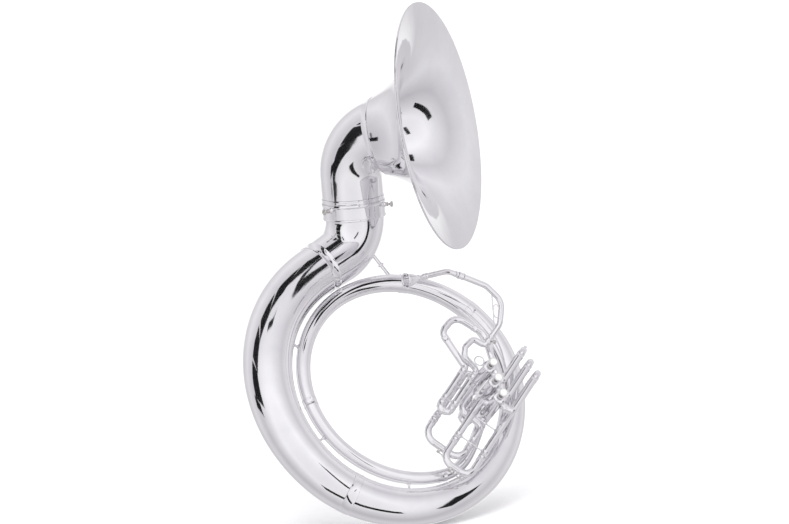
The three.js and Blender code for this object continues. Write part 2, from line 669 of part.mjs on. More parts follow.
function addNeck() {
  const pipe = route(NECK_ROUTE, 40, 32);
  const low = vec([117.5, 215, 111.4]);
  const high = vec([50, 289.7, 147]);
  const chord = high.clone().sub(low).normalize();
  const ends = [low.clone().addScaledVector(chord, 11), high.clone().addScaledVector(chord, -10)];
  const wire = rod(route(ends.map((end) => end.toArray())), 1.8, 5);
  const outward = vec([1, 0.5, 0]).addScaledVector(chord, -chord.dot(vec([1, 0.5, 0]))).normalize();
  const middle = low.clone().lerp(high, 0.5).addScaledVector(outward, 8.5);
  const plane = new THREE.Matrix4().makeBasis(outward, chord, outward.clone().cross(chord));
  const oval = new THREE.TorusGeometry(8, 1.4, 6, 16).scale(1, 2.2, 1);
  oval.applyMatrix4(plane.setPosition(middle));
  addPiece(coil, "neck_pipe", join(tube(pipe, NECK, NECK - 1), wire, oval));
  addPiece(coil, "neck_bit", tube(route(BIT_ROUTE, 50, 20), 7.6, 6.6));
  const outline = [
    [16, 1.6], [18.4, 0], [20.8, 1], [21.5, 3.4], [19, 7], [17.6, 14], [13, 27], [9, 36], [7.2, 41],
    [5.9, 50], [5.7, 66], [4.6, 66], [3.9, 34], [8, 26], [14, 14], [15.6, 6], [16, 1.6],
  ];
  addPiece(coil, "mouthpiece", turned(outline, 12, MOUTHPIECE_RIM, BIT_ROUTE[2]));
  const screw = [
    [0, 11.5], [2.4, 11.5], [2.4, 17], [6, 18], [6, 22], [4, 24], [0, 24],
  ];
  addPiece(coil, "neck_screw", turned(screw, 10, [118, 183, 103.8], [119, 183, 104.8]), "nickel");
}

addBody();
addFerrules();
addUpright();
addCollar();
addBell();
addStruts();
VALVES.forEach(([p, q], i) => addValve(p, q, i + 1));
addTuningSlide();
addLeadpipe();
addFeedBow();
addCrooks();
addThirdSlide();
addFirstSlide();
addSecondSlide();
addNeck();

export default sousaphone;
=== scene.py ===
# A silver-plated three-valve sousaphone on a pale studio floor.
# Lengths are in millimetres up to Piece.make, which turns them into metres. The studio is in metres.
import math

import bpy
from mathutils import Matrix, Vector


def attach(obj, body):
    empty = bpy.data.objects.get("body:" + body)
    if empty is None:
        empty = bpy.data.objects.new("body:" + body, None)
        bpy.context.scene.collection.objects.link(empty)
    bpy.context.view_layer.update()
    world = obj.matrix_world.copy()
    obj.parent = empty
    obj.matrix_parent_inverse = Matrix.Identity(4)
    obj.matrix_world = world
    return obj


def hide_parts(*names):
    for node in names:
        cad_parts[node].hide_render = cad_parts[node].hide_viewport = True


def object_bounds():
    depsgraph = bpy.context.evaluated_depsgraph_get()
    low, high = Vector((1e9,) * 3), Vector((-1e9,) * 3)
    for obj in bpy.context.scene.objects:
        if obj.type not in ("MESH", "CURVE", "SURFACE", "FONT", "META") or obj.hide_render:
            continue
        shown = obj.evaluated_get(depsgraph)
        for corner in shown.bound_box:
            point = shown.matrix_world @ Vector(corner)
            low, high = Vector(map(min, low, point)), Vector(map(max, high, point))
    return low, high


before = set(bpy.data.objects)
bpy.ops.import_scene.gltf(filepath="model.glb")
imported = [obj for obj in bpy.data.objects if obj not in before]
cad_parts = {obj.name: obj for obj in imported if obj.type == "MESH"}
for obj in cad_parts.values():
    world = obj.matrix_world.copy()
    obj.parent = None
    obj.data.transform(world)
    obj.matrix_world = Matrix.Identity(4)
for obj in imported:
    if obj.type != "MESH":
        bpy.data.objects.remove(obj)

CAD_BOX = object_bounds()
MM = 0.001

# ---- Driving dimensions -------------------------------------------------------------------
COIL_CENTRE = (113, -123, -216)
COIL_YAW, COIL_TILT, COIL_SPIN = 42.5, 55.3, -49.8
OUTER_TURN_RADIUS = 379
BODY_START, BODY_END = 162.3, 680
SEAMS = (277, 443, 482, 592)
UPRIGHT_SEAM, UPRIGHT_STRAIGHT, UPRIGHT_BEND = 18, 80, 105
UPRIGHT_LENGTH, UPRIGHT_TOP_RADIUS = 231, 80
COLLAR = Vector((-46, 49, 216))
COLLAR_RADIUS, COLLAR_HALF = 84.5, 22
SCREW_ANGLES = {"right": 0, "back": 120, "left": 240}
ELBOW_START, ELBOW_BEND, ELBOW_TURN, FLARE_SEAM_TURN = 86, 110, 82.4, 75
ELBOW_FOOT_RADIUS, ELBOW_GROWTH, TENON_BORE_RADIUS = 82.5, 18, 78.8
FLARE_LENGTH, RIM_RADIUS, FLARE_OFFSET, FLARE_POWER = 162, 330, 40.5, 0.7
FLARE_SHEET, RIM_WIRE_RADIUS = 0.9, 2.4
STRUT_ANGLE, STAY_ANGLES = 486.4, (200, 252, 302)
VALVES = ((158, 109), (191, 79), (224, 49))
CASING, TUBE, INNER_LEG, LEADPIPE, NECK, BIT = 17, 9.6, 8.8, 8.5, 8.2, 7.6  # radii
TUNING_H, UPPER_H, LOWER_H, FIRST_H, SECOND_H = 78, 95, 62, 34, 14  # heights above the coil's plane
TUNING_LEGS, TUNING_FOOT = (107, 137), -36
THIRD_LEGS, THIRD_FOOT, THIRD_BOW = (190, 274), -95, -170
FIRST_LEGS, FIRST_FOOT, FIRST_BOW = (117, 232), -66, -126
SECOND_LEGS, SECOND_FOOT = (172, 196), 12
KEY_HINGE, KEY_LEVEL = 16, 16.6
LEG_GAP = 0.4  # between a slide's shoulder and the outer leg that it stops at

COIL = (
    Matrix.Translation(Vector(COIL_CENTRE))
    @ Matrix.Rotation(math.radians(COIL_YAW), 4, "Z")
    @ Matrix.Rotation(math.radians(COIL_TILT), 4, "X")
    @ Matrix.Rotation(math.radians(COIL_SPIN), 4, "Z")
)
BELL = Matrix.Translation(COLLAR)
COIL_NORMAL = COIL.to_3x3() @ Vector((0, 0, 1))


# ---- Shaping tools --------------------------------------------------------------------------
class Path:
    """A smooth centre line, measured in millimetres along its length."""

    def __init__(self, points, up=(0, 0, 1)):
        self.points = [Vector(p) for p in points]
        self.marks = [0.0]
        for a, b in zip(self.points, self.points[1:]):
            self.marks.append(self.marks[-1] + (b - a).length)
        self.length = self.marks[-1]
        self.frames = []
        normal = Vector(up)
        last = len(self.points) - 1
        for i, point in enumerate(self.points):
            along = (self.points[min(i + 1, last)] - self.points[max(i - 1, 0)]).normalized()
            normal = (normal - along * normal.dot(along)).normalized()
            self.frames.append((along, normal.copy()))

    def at(self, distance):
        """Point, direction and upward normal at a distance; straight on past either end."""
        distance_in = min(max(distance, 0.0), self.length)
        low, high = 0, len(self.marks) - 1
        while high - low > 1:
            middle = (low + high) // 2
            if self.marks[middle] <= distance_in:
                low = middle
            else:
                high = middle
        span = self.marks[low + 1] - self.marks[low]
        t = (distance_in - self.marks[low]) / span if span else 0.0
        point = self.points[low].lerp(self.points[low + 1], t)
        along = self.frames[low][0].lerp(self.frames[low + 1][0], t).normalized()
        normal = self.frames[low][1].lerp(self.frames[low + 1][1], t)
        normal = (normal - along * normal.dot(along)).normalized()
        return point + along * (distance - distance_in), along, normal

    def nearest(self, point):
        """The distance along the path of the point on it that is nearest to a given one."""
        target = Vector(point)
        marks = [self.length * i / 400 for i in range(401)]
        return min(marks, key=lambda distance: (self.at(distance)[0] - target).length)


def bent(corners, bend=16, up=(0, 0, 1), step=5):
    """A path of straight runs joined by round bends; a corner may carry its own bend radius."""
    points = [Vector(corners[0][:3])]
    for before, corner, after in zip(corners, corners[1:], corners[2:]):
        here = Vector(corner[:3])
        radius = corner[3] if len(corner) > 3 else bend
        into = (here - Vector(before[:3])).normalized()
        out = (Vector(after[:3]) - here).normalized()
        turn = into.angle(out)
        inward = (out - into * math.cos(turn)).normalized()
        start = here - into * radius * math.tan(turn / 2)
        steps = max(2, round(math.degrees(turn) / step))
        for k in range(steps + 1):
            a = turn * k / steps
            points.append(start + into * radius * math.sin(a) + inward * radius * (1 - math.cos(a)))
    points.append(Vector(corners[-1][:3]))
    return Path(points, up)


def line(start, end, up=(0.1, 0.2, 1)):
    return Path([start, end], up)


class Piece:
    """Gathers the skins of one piece before it becomes an object."""

    def __init__(self, place=COIL):
        self.place = place
        self.points = []
        self.faces = []

    def turn(self, path, profile, sides=40, closed=False, knurl=(0, 0.0), flat=(1.0, 1.0)):
        """Turns a profile of (distance along the path, radius) about the path."""
        first = len(self.points)
        count, depth = knurl
        for distance, radius in profile:
            centre, along, up = path.at(distance)
            side = along.cross(up)
            for k in range(sides):
                a = 2 * math.pi * k / sides
                r = radius
                if count and k % 2:
                    r -= depth
                offset = side * (r * flat[0] * math.sin(a)) + up * (r * flat[1] * math.cos(a))
                self.points.append(centre + offset)
        rows = len(profile)
        for i in range(rows if closed else rows - 1):
            a = first + i * sides
            b = first + ((i + 1) % rows) * sides
            for k in range(sides):
                n = (k + 1) % sides
                self.faces.append((a + k, b + k, b + n, a + n))
        if not closed:
            self.faces.append(tuple(first + k for k in range(sides)))
            top = first + (rows - 1) * sides
            self.faces.append(tuple(top + k for k in reversed(range(sides))))
        return self

    def tube(self, path, radius, sides=32, start=0.0, end=None, step=4.0):
        """A round tube along a path, with its ends closed; radius may be a function of distance."""
        end = path.length if end is None else end
        steps = max(2, math.ceil((end - start) / step))
        marks = [start + (end - start) * i / steps for i in range(steps + 1)]
        size = radius if callable(radius) else lambda _: radius
        return self.turn(path, [(d, size(d)) for d in marks], sides)

    def sleeve(self, path, middle, length, radius, sides=32, swell=1.0):
        """A soldered sleeve with a bead at each end."""
        half = length / 2
        size = radius if callable(radius) else lambda _: radius
        shape = (
            (-half, -0.6), (-half, 0.7), (-half + 0.5, 1.25), (-half + 1.6, 1.25), (-half + 2.2, 0.8),
            (0, 0.8),
            (half - 2.2, 0.8), (half - 1.6, 1.25), (half - 0.5, 1.25), (half, 0.7), (half, -0.6),
        )
        profile = [(middle + d, size(middle + d) + proud * swell) for d, proud in shape]
        return self.turn(path, profile, sides)

    def stay(self, start, end, radius=2.2, plate=6.0, up=(0.1, 0.2, 1)):
        """A round stay with a dished plate soldered at each end."""
        path = line(start, end, up)
        n = path.length
        profile = (
            (0, plate), (0.8, plate), (1.6, plate * 0.75), (2.6, radius * 1.5), (5, radius),
            (n / 2 - 4, radius), (n / 2 - 2, radius * 1.7), (n / 2 + 2, radius * 1.7), (n / 2 + 4, radius),
            (n - 5, radius), (n - 2.6, radius * 1.5), (n - 1.6, plate * 0.75), (n - 0.8, plate), (n, plate),
        )
        if n < 26:
            profile = profile[:5] + profile[-5:]
        return self.turn(path, profile, 20)

    def loop(self, centre, across, over, radius, wire, sides=14, steps=64, stretch=1.0):
        """A closed ring of wire; across and over span its plane."""
        first = len(self.points)
        across, over = Vector(across).normalized(), Vector(over).normalized()
        normal = across.cross(over).normalized()
        for i in range(steps):
            a = 2 * math.pi * i / steps
            out = across * math.cos(a) + over * math.sin(a)
            at = Vector(centre) + across * radius * math.cos(a) + over * radius * stretch * math.sin(a)
            for k in range(sides):
                b = 2 * math.pi * k / sides
                self.points.append(at + out * wire * math.cos(b) + normal * wire * math.sin(b))
        for i in range(steps):
            a, b = first + i * sides, first + ((i + 1) % steps) * sides
            for k in range(sides):
                n = (k + 1) % sides
                self.faces.append((a + k, b + k, b + n, a + n))
        return self

    def make(self, name, body, material, *nodes, slot="silver_plate", sharp=38):
        """Makes the object, sets it on its body and hides the CAD nodes that it stands for."""
        mesh = bpy.data.meshes.new(name)
        mesh.from_pydata([self.place @ p * MM for p in self.points], [], self.faces)
        mesh.validate()
        mesh.polygons.foreach_set("use_smooth", [True] * len(mesh.polygons))
        mesh.set_sharp_from_angle(angle=math.radians(sharp))
        thing = bpy.data.objects.new(name, mesh)
        bpy.context.scene.collection.objects.link(thing)
        mesh.materials.append(material)
        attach(thing, body)
        if nodes:
            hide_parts(*nodes)
        return thing


# ---- Finishes -------------------------------------------------------------------------------
def srgb(code):
    """A hex colour as the linear colour that a shader wants."""
    parts = [int(code[i : i + 2], 16) / 255 for i in (1, 3, 5)]
    linear = [c / 12.92 if c <= 0.04045 else ((c + 0.055) / 1.055) ** 2.4 for c in parts]
    return (*linear, 1.0)


def add(tree, kind, inputs=None, stops=(), **settings):
    """Adds a node with its settings. An input is a value, or the output of another node to link to.

    Stops are the places and colours along a ramp.
    """
    made = tree.nodes.new(kind)
    for key, value in settings.items():
        setattr(made, key, value)
    for key, value in (inputs or {}).items():
        socket = made.inputs[key]
        if isinstance(value, bpy.types.NodeSocket):
            tree.links.new(value, socket)
        else:
            socket.default_value = value
    for place, _ in stops[2:]:
        made.color_ramp.elements.new(place)
    for element, (place, colour) in zip(made.color_ramp.elements if stops else (), stops):
        element.position = place
        element.color = srgb(colour)
    return made


def blank(name):
    material = bpy.data.materials.new(name)
    material.use_nodes = True
    material.node_tree.nodes.clear()
    return material, material.node_tree


def polished_silver_plate():
    """Silver electroplate on brass, buffed: a bright mirror with faint buffing haze and lilac-grey cast."""
    material, tree = blank("polished_silver_plate")
    place = add(tree, "ShaderNodeTexCoord").outputs["Object"]
    haze = add(
        tree, "ShaderNodeTexNoise",
        {"Vector": place, "Scale": 1 / 0.09, "Detail": 5, "Roughness": 0.6},
    )
    # buffing marks are a few tenths of a millimetre apart; drawn 3 mm apart so that they show
    marks = add(
        tree, "ShaderNodeTexNoise",
        {"Vector": place, "Scale": 1 / 0.003, "Detail": 2, "Roughness": 0.5},
    )
    colour = add(
        tree, "ShaderNodeValToRGB", {"Fac": haze.outputs["Fac"]},
        stops=((0.3, "#eeedf0"), (0.55, "#f3f2f4"), (0.75, "#f7f6f7")),
    )
    rough = add(
        tree, "ShaderNodeMapRange",
        {"Value": haze.outputs["Fac"], "From Min": 0.3, "From Max": 0.75, "To Min": 0.045, "To Max": 0.1},
    )
    # the hammered and drawn sheet is never quite true: soft waves a hand's breadth long
    wave = add(
        tree, "ShaderNodeTexNoise",
        {"Vector": place, "Scale": 1 / 0.06, "Detail": 1, "Roughness": 0.4},
    )
    sheet = add(
        tree, "ShaderNodeBump",
        {"Height": wave.outputs["Fac"], "Strength": 0.12, "Distance": 0.004},
    )
    buffed = add(
        tree, "ShaderNodeBump",
        {"Height": marks.outputs["Fac"], "Strength": 0.02, "Distance": 0.0003, "Normal": sheet.outputs[0]},
    )
    shader = add(
        tree, "ShaderNodeBsdfPrincipled",
        {
            "Base Color": colour.outputs[0], "Roughness": rough.outputs[0],
            "Normal": buffed.outputs[0], "Metallic": 1.0,
        },
    )
    add(tree, "ShaderNodeOutputMaterial", {"Surface": shader.outputs[0]})
    return material


def nickel_silver():
    """Nickel silver, turned and polished: warmer and duller than the plate, worn bright at its edges."""
    material, tree = blank("turned_nickel_silver")
    place = add(tree, "ShaderNodeTexCoord").outputs["Object"]
    grain = add(tree, "ShaderNodeTexNoise", {"Vector": place, "Scale": 1 / 0.004, "Detail": 4})
    edge = add(tree, "ShaderNodeNewGeometry").outputs["Pointiness"]
    wear = add(
        tree, "ShaderNodeMapRange",
        {"Value": edge, "From Min": 0.48, "From Max": 0.56, "To Min": 0.24, "To Max": 0.1},
    )
    colour = add(
        tree, "ShaderNodeValToRGB", {"Fac": grain.outputs["Fac"]},
        stops=((0.3, "#cfccc8"), (0.7, "#dedcda")),
    )
    bump = add(
        tree, "ShaderNodeBump",
        {"Height": grain.outputs["Fac"], "Strength": 0.05, "Distance": 0.0002},
    )
    shader = add(
        tree, "ShaderNodeBsdfPrincipled",
        {
            "Base Color": colour.outputs[0], "Roughness": wear.outputs[0],
            "Normal": bump.outputs[0], "Metallic": 1.0,
        },
    )
    add(tree, "ShaderNodeOutputMaterial", {"Surface": shader.outputs[0]})
    return material


def pearl_inlay():
    """Mother of pearl, ground and polished: milky, with pink and green clouds under a glossy face."""
    material, tree = blank("polished_pearl_inlay")
    place = add(tree, "ShaderNodeTexCoord").outputs["Object"]
    layers = add(
        tree, "ShaderNodeTexNoise",
        {"Vector": place, "Scale": 1 / 0.006, "Detail": 3, "Distortion": 1.6},
    )
    colour = add(
        tree, "ShaderNodeValToRGB", {"Fac": layers.outputs["Fac"]},
        stops=((0.25, "#d6ccca"), (0.42, "#e4e1da"), (0.56, "#ccd6cf"), (0.7, "#dcd3d9")),
    )
    bump = add(
        tree, "ShaderNodeBump",
        {"Height": layers.outputs["Fac"], "Strength": 0.04, "Distance": 0.0003},
    )
    shader = add(
        tree, "ShaderNodeBsdfPrincipled",
        {"Base Color": colour.outputs[0], "Roughness": 0.22, "Normal": bump.outputs[0], "Coat Weight": 0.6},
    )
    add(tree, "ShaderNodeOutputMaterial", {"Surface": shader.outputs[0]})
    return material


def pressed_felt():
    """Wool felt washer, pressed and cut: matt, fuzzy and slightly mottled."""
    material, tree = blank("pressed_wool_felt")
    place = add(tree, "ShaderNodeTexCoord").outputs["Object"]
    fuzz = add(tree, "ShaderNodeTexNoise", {"Vector": place, "Scale": 1 / 0.0008, "Detail": 5})
    colour = add(
        tree, "ShaderNodeValToRGB", {"Fac": fuzz.outputs["Fac"]},
        stops=((0.3, "#8f8d90"), (0.7, "#c4c2c4")),
    )
    bump = add(
        tree, "ShaderNodeBump",
        {"Height": fuzz.outputs["Fac"], "Strength": 0.5, "Distance": 0.0004},
    )
    shader = add(
        tree, "ShaderNodeBsdfPrincipled",
        {
            "Base Color": colour.outputs[0], "Roughness": 0.95,
            "Normal": bump.outputs[0], "Sheen Weight": 0.5,
        },
    )
    add(tree, "ShaderNodeOutputMaterial", {"Surface": shader.outputs[0]})
    return material


def cut_cork():
    """Natural cork, cut: tan with darker pores a millimetre or so across."""
    material, tree = blank("cut_natural_cork")
    place = add(tree, "ShaderNodeTexCoord").outputs["Object"]
    pores = add(tree, "ShaderNodeTexVoronoi", {"Vector": place, "Scale": 1 / 0.0012})
    colour = add(
        tree, "ShaderNodeValToRGB", {"Fac": pores.outputs["Distance"]},
        stops=((0.1, "#7a5532"), (0.45, "#c69a66")),
    )
    bump = add(
        tree, "ShaderNodeBump",
        {"Height": pores.outputs["Distance"], "Strength": 0.4, "Distance": 0.0003},
    )
    shader = add(
        tree, "ShaderNodeBsdfPrincipled",
        {"Base Color": colour.outputs[0], "Roughness": 0.8, "Normal": bump.outputs[0]},
    )
    add(tree, "ShaderNodeOutputMaterial", {"Surface": shader.outputs[0]})
    return material


def drawn_spring_wire():
    """Stainless spring wire, drawn: grey, satin, with fine lines."""
    material, tree = blank("drawn_spring_wire")
    place = add(tree, "ShaderNodeTexCoord").outputs["Object"]
    lines = add(tree, "ShaderNodeTexNoise", {"Vector": place, "Scale": 1 / 0.001, "Detail": 3})
    colour = add(
        tree, "ShaderNodeValToRGB", {"Fac": lines.outputs["Fac"]},
        stops=((0.3, "#8f8b84"), (0.7, "#b5b1aa")),
    )
    bump = add(
        tree, "ShaderNodeBump",
        {"Height": lines.outputs["Fac"], "Strength": 0.1, "Distance": 0.0001},
    )
    shader = add(
        tree, "ShaderNodeBsdfPrincipled",
        {"Base Color": colour.outputs[0], "Roughness": 0.3, "Normal": bump.outputs[0], "Metallic": 1.0},
    )
    add(tree, "ShaderNodeOutputMaterial", {"Surface": shader.outputs[0]})
    return material


SILVER = polished_silver_plate()
NICKEL = nickel_silver()
PEARL = pearl_inlay()
FELT = pressed_felt()
CORK = cut_cork()
SPRING = drawn_spring_wire()


# ---- The body --------------------------------------------------------------------------------
def ease(value, low, high):
    t = min(max((value - low) / (high - low), 0.0), 1.0)
    return t * t * (3 - 2 * t)


def coil_radius(deg):
    """The outer turn shrinks inside itself so that the second turn nests against the first."""
    dive = 82 * ease(deg, 265, 395)
    nest = 13 * ease(deg, 395, 520)
    creep = 6 * min(max((deg - 520) / 160, 0.0), 1.0)
    return OUTER_TURN_RADIUS - dive - nest - creep


def body_radius(deg):
    """A steady taper with a bell-like growth towards the upright."""
    run = (deg - 162) / 533
    return (32 + 24 * (1 - run) + 81 * math.exp(-(((deg - 162) / 205) ** 2))) / 2


def coil_point(deg):
    a = math.radians(deg)
    return Vector((math.cos(a), math.sin(a), 0)) * coil_radius(deg)


def coil_path(start, end):
    """The coil between two angles, with a function from distance along it to the angle."""
    steps = max(4, math.ceil((end - start) / 1.5))
    angles = [start + (end - start) * i / steps for i in range(steps + 1)]
    path = Path([coil_point(deg) for deg in angles])

    def angle_at(distance):
        return start + (end - start) * distance / path.length

    return path, angle_at


BODY_HEADING = Vector((math.sin(math.radians(BODY_START)), -math.cos(math.radians(BODY_START)), 0))


def upright_radius(distance):
    foot = body_radius(BODY_START)
    return foot + (UPRIGHT_TOP_RADIUS - foot) * distance / UPRIGHT_LENGTH


def upright_path():
    """From the coil, straight on and then round a bend to the vertical."""
    start = COIL @ coil_point(BODY_START)
    heading = (COIL.to_3x3() @ BODY_HEADING).normalized()
    level = Vector((heading.x, heading.y, 0)).normalized()
    climb = math.asin(heading.z)
    bend_start = start + heading * UPRIGHT_STRAIGHT
    points = [start + heading * s for s in range(0, UPRIGHT_STRAIGHT, 4)]
    for k in range(37):
        e = climb + (math.pi / 2 - climb) * k / 36
        point = bend_start + level * UPRIGHT_BEND * (math.sin(e) - math.sin(climb))
        points.append(point + Vector((0, 0, UPRIGHT_BEND * (math.cos(climb) - math.cos(e)))))
    points.append(Vector((COLLAR.x, COLLAR.y, COLLAR.z - 2)))
    return Path(points, COIL_NORMAL)


def make_body():
    """Five conical branches of one tube, each sleeved onto the next."""
    limits = (BODY_START, *SEAMS)
    for number, (start, end) in enumerate(zip(limits, limits[1:]), 1):
        path, angle_at = coil_path(start, end)
        piece = Piece()
        first = -UPRIGHT_SEAM if number == 1 else 0.0
        sides = 96 if number < 3 else 64
        piece.tube(path, lambda d: body_radius(angle_at(d)), sides, first, path.length, 6)
        piece.make(f"body_branch_{number}_shell", "horn", SILVER, f"body_branch_{number}")

    path, angle_at = coil_path(SEAMS[-1], BODY_END)
    turn_off = Path(tail_points())
    tail = Path(path.points + turn_off.points[1:])
    end_radius = body_radius(BODY_END)

    def tail_radius(distance):
        if distance < path.length:
            return body_radius(angle_at(distance))
        return end_radius + (14 - end_radius) * (distance - path.length) / (tail.length - path.length)

    piece = Piece().tube(tail, tail_radius, 56, 0.0, tail.length, 5)
    piece.sleeve(tail, path.length + 4, 22, tail_radius, 56)
    piece.sleeve(tail, tail.length - 9, 17, tail_radius, 56)
    piece.make("body_branch_5_shell", "horn", SILVER, "body_branch_5")

    for number, deg in enumerate(SEAMS, 1):
        path, angle_at = coil_path(deg - 4, deg + 4)
        length = 26 if number < 3 else 20
        piece = Piece().sleeve(path, path.length / 2, length, lambda d: body_radius(angle_at(d)), 96)
        piece.make(f"coil_ferrule_{number}_band", "horn", SILVER, f"coil_ferrule_{number}")


def tail_points():
    """Where the coil leaves its circle and swings up to the third valve's lower port."""
    end = coil_point(BODY_END)
    along = (coil_point(BODY_END + 0.5) - coil_point(BODY_END - 0.5)).normalized()
    p, q = VALVES[2]
    c = (end, end + along * 84, Vector((238, -50, 5)), Vector((p, q - CASING - 0.4, 5)))
    steps = 40
    points = []
    for i in range(steps + 1):
        t = i / steps
        s = 1 - t
        points.append(c[0] * s**3 + c[1] * 3 * s * s * t + c[2] * 3 * s * t * t + c[3] * t**3)
    return points


def make_upright():
    """The branch that carries the collar, and the band over its seam with the coil."""
    path = upright_path()
    shell = Piece(Matrix.Identity(4))
    shell.tube(path, upright_radius, 96, UPRIGHT_SEAM, path.length, 4)
    shell.make("upright_shell", "horn", SILVER, "upright_branch")
    band = Piece(Matrix.Identity(4)).sleeve(path, UPRIGHT_SEAM, 26, upright_radius, 96)
    band.make("upright_band", "horn", SILVER, "upright_ferrule")


def make_collar():
    """The receiver that the bell drops into, with its beads, bosses and three screws."""
    axis = line((0, 0, -40), (0, 0, 80), (0, 1, 0))
    low, high = 40 - COLLAR_HALF, 40 + COLLAR_HALF
    r = COLLAR_RADIUS
    profile = [
        (low, r - 3.6), (low, r - 1), (low + 1, r + 0.4), (low + 3, r + 0.8), (low + 5, r + 0.4),
        (low + 6, r - 0.6), (high - 8, r - 0.6), (high - 7, r + 0.4), (high - 4.5, r + 1.2),
        (high - 2, r + 0.9), (high, r - 0.2), (high, r - 3.2), (high - 21, r - 3.2), (high - 22, r - 3.6),
    ]
    collar = Piece(BELL).turn(axis, profile, 128, closed=True)
    for side, deg in SCREW_ANGLES.items():
        a = math.radians(deg)
        out = Vector((math.cos(a), math.sin(a), 0))
        shaft = line(Vector((0, 0, 10)), Vector((0, 0, 10)) + out * 120, (0, 0, 1))
        boss = ((82, 9), (84.4, 9), (85.6, 8.2), (86.4, 6.6), (90.4, 6.2), (91.2, 5.4), (91.2, 3.6))
        collar.turn(shaft, boss, 36)
        screw = Piece(BELL)
        stem = (
            (81.2, 3), (92, 3), (92.6, 4.8), (93.4, 5.6), (95.6, 5.6), (96.4, 4.8), (97.2, 3.4),
            (99.6, 2.8), (101.4, 3.6), (103.2, 6.2), (104.4, 7.3),
        )
        screw.turn(shaft, stem, 32)
        grip = (
            (104.2, 6.8), (104.4, 7.5), (107.8, 7.7), (108.2, 7.2), (109.2, 5.6), (109.8, 3.4), (110, 0.6),
        )
        screw.turn(shaft, grip, 48, knurl=(48, 0.35))
        screw.make(
            f"bell_screw_{side}_thumb", f"bell_screw_{side}", NICKEL, f"bell_screw_{side}",
            slot="nickel_silver",
        )
    collar.make("bell_collar_ring", "horn", SILVER, "bell_collar")


# ---- The bell --------------------------------------------------------------------------------
def elbow_point(turn):
    a = math.radians(turn)
    return Vector((ELBOW_BEND * (1 - math.cos(a)), 0, ELBOW_START + ELBOW_BEND * math.sin(a)))


def flare_radius(behind_rim):
    return RIM_RADIUS * (FLARE_OFFSET / (behind_rim + FLARE_OFFSET)) ** FLARE_POWER


def elbow_radius(turn):
    return ELBOW_FOOT_RADIUS + ELBOW_GROWTH * (turn / ELBOW_TURN) ** 1.4


def make_bell():
    """The tenon, the elbow and the flare, from the collar out to the rolled rim."""
    axis = line((0, 0, 0), (0, 0, 100), (0, 1, 0))
    r = COLLAR_RADIUS
    bead = (
        (-1, TENON_BORE_RADIUS), (-1, 80.2), (22.5, 80.2), (22.5, r - 0.4), (23.4, r + 0.4),
        (24.8, r + 0.4), (25.6, r - 1.2), (30.6, r - 1.2), (31.4, r + 0.2), (33, r + 0.4),
        (34.6, r - 0.2), (35.2, r - 2.4), (35.2, TENON_BORE_RADIUS),
    )
    tenon = Piece(BELL).turn(axis, bead, 128, closed=True)
    tenon.make("bell_tenon_ring", "bell", SILVER, "bell_tenon")

    foot = Vector((0, 0, 35.4))
    turns = [FLARE_SEAM_TURN * i / 30 for i in range(31)]
    elbow = Path([foot, foot + Vector((0, 0, 25))] + [elbow_point(t) for t in turns], (0, 1, 0))
    bend_start = elbow.marks[2]

    def outer(distance):
        turn = max(0.0, (distance - bend_start) / (elbow.length - bend_start)) * FLARE_SEAM_TURN
        return elbow_radius(turn)

    shell = Piece(BELL).tube(elbow, outer, 112, 0.0, elbow.length, 4)
    shell.make("bell_elbow_shell", "bell", SILVER, "bell_elbow")

    along = Vector((math.sin(math.radians(ELBOW_TURN)), 0, math.cos(math.radians(ELBOW_TURN))))
    bends = [FLARE_SEAM_TURN + (ELBOW_TURN - FLARE_SEAM_TURN) * i / 5 for i in range(6)]
    rim_run = [elbow_point(ELBOW_TURN) + along * (FLARE_LENGTH * i / 4) for i in range(1, 5)]
    flare = Path([elbow_point(t) for t in bends] + rim_run, (0, 1, 0))
    bent_length = flare.length - FLARE_LENGTH
    throat = elbow_radius(FLARE_SEAM_TURN) + 0.6

    def skin(distance):
        if distance < bent_length:
            t = distance / bent_length
            return throat + (flare_radius(FLARE_LENGTH) - throat) * t
        return flare_radius(flare.length - distance)

    # stations crowd towards the rim, where the flare opens fastest
    marks = [flare.length * (1 - (1 - i / 90) ** 2.2) for i in range(91)]
    outside = [(d, skin(d)) for d in marks]
    wire = RIM_WIRE_RADIUS
    bead_at = flare.length - wire
    rolled = [
        (bead_at + wire * math.cos(a), RIM_RADIUS - wire + wire * math.sin(a))
        for a in (math.pi * (0.9 - 0.16 * i) for i in range(10))
    ]
    inside = [(d + FLARE_SHEET, skin(d) - FLARE_SHEET) for d in reversed(marks[:-3])]
    bell = Piece(BELL).turn(flare, outside[:-2] + rolled + inside, 160, closed=True)
    bell.sleeve(flare, 2, 18, skin, 128, swell=1.3)
    bell.make("bell_flare_shell", "bell", SILVER, "bell_flare", sharp=50)


# ---- Struts and stays ------------------------------------------------------------------------
def make_struts():
    """The strut from the upright to the ring, and the stays between the coil's two turns."""
    foot = COIL @ coil_point(STRUT_ANGLE)
    target = COLLAR + Vector((-4, -5, -57))
    heading = (target - foot).normalized()
    reach = (target - foot).length
    strut = Piece(Matrix.Identity(4))
    low = foot + heading * (body_radius(STRUT_ANGLE) - 1)
    high = foot + heading * (reach - UPRIGHT_TOP_RADIUS + 1)
    strut.stay(low, high, 5.0, 11)
    strut.make("coil_strut_tube", "horn", SILVER, "coil_strut")
    for number, deg in enumerate(STAY_ANGLES, 1):
        away = coil_point(deg).normalized()
        inner = away * (coil_radius(deg + 360) + body_radius(deg + 360) - 0.6)
        outer = away * (coil_radius(deg) - body_radius(deg) + 0.6)
        stay = Piece().stay(inner, outer, 3.0, 7.5)
        stay.make(f"coil_stay_{number}", "horn", SILVER, f"coil_brace_{number}")


